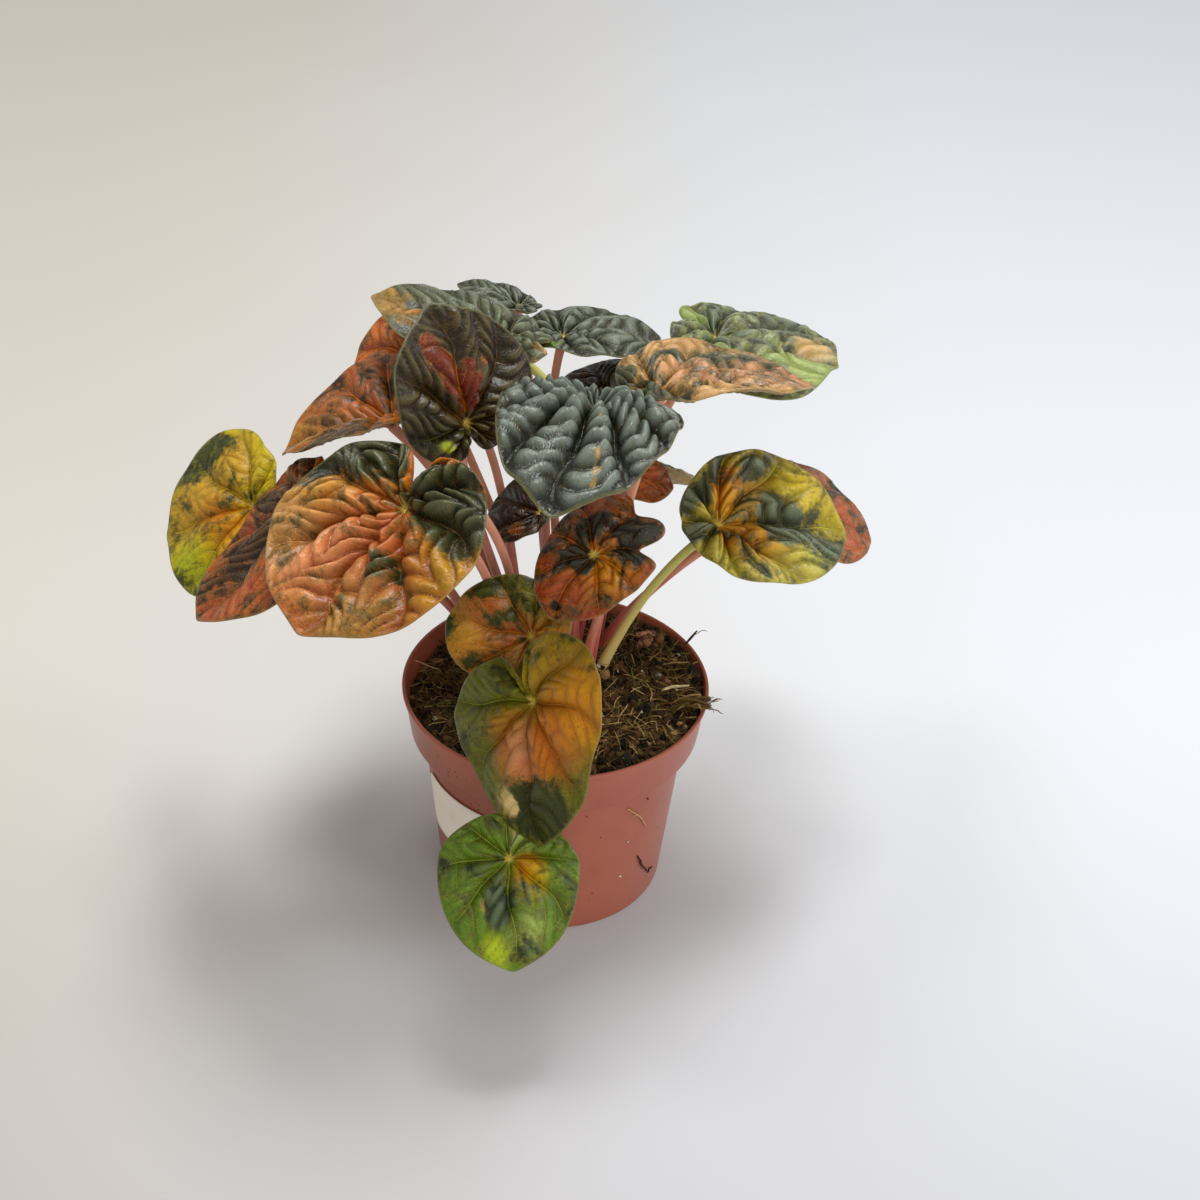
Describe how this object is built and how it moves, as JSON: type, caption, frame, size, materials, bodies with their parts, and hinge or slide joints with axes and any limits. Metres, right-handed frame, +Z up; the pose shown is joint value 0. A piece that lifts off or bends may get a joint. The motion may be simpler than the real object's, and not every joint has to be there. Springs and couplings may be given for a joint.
{
  "type": "potted peperomia",
  "caption": "Small pot plant: puckered, heart-shaped variegated leaves on long stalks, growing from peat in a tapered plastic nursery pot with a collar.",
  "frame": {"origin": "centre of the pot's flat underside", "axes": "+Z up through the pot, -Y towards the front, +X to the right as seen from the front"},
  "size_m": [0.2752, 0.2479, 0.2381],
  "materials": {
    "pot": "terracotta-brown moulded plastic, satin",
    "label": "blank white paper, matt",
    "soil": "dark peat with fibres, rough",
    "blade_yellow": "yellow and ochre variegated leaf, satin",
    "blade_orange": "orange and salmon variegated leaf, glossy",
    "blade_dark": "dark grey-green puckered leaf, glossy",
    "blade_green": "green variegated leaf, satin",
    "petiole_pink": "pink fleshy stalk, satin",
    "petiole_pale": "pale green fleshy stalk, satin"
  },
  "bodies": {
    "root": {"pot": "pot", "label": "label", "soil": "soil", "leaf_01_blade": "blade_yellow", "leaf_01_petiole": "petiole_pink", "leaf_02_blade": "blade_orange", "leaf_02_petiole": "petiole_pink", "leaf_03_blade": "blade_orange", "leaf_03_petiole": "petiole_pink", "leaf_04_blade": "blade_orange", "leaf_04_petiole": "petiole_pink", "leaf_05_blade": "blade_orange", "leaf_05_petiole": "petiole_pink", "leaf_06_blade": "blade_dark", "leaf_06_petiole": "petiole_pale", "leaf_07_blade": "blade_dark", "leaf_07_petiole": "petiole_pink", "leaf_08_blade": "blade_dark", "leaf_08_petiole": "petiole_pink", "leaf_09_blade": "blade_dark", "leaf_09_petiole": "petiole_pink", "leaf_10_blade": "blade_dark", "leaf_10_petiole": "petiole_pink", "leaf_11_blade": "blade_orange", "leaf_11_petiole": "petiole_pink", "leaf_12_blade": "blade_green", "leaf_12_petiole": "petiole_pink", "leaf_13_blade": "blade_green", "leaf_13_petiole": "petiole_pale", "leaf_14_blade": "blade_orange", "leaf_14_petiole": "petiole_pink", "leaf_15_blade": "blade_orange", "leaf_15_petiole": "petiole_pink", "leaf_16_blade": "blade_orange", "leaf_16_petiole": "petiole_pink", "leaf_17_blade": "blade_dark", "leaf_17_petiole": "petiole_pink", "leaf_18_blade": "blade_yellow", "leaf_18_petiole": "petiole_pale", "leaf_19_blade": "blade_yellow", "leaf_19_petiole": "petiole_pink", "leaf_20_blade": "blade_green", "leaf_20_petiole": "petiole_pale", "leaf_21_blade": "blade_orange", "leaf_21_petiole": "petiole_pink", "leaf_22_blade": "blade_dark", "leaf_22_petiole": "petiole_pink", "leaf_23_blade": "blade_green", "leaf_23_petiole": "petiole_pink", "leaf_24_blade": "blade_dark", "leaf_24_petiole": "petiole_pink", "leaf_25_blade": "blade_green", "leaf_25_petiole": "petiole_pink", "leaf_26_blade": "blade_dark", "leaf_26_petiole": "petiole_pink"}
  },
  "joints": []
}
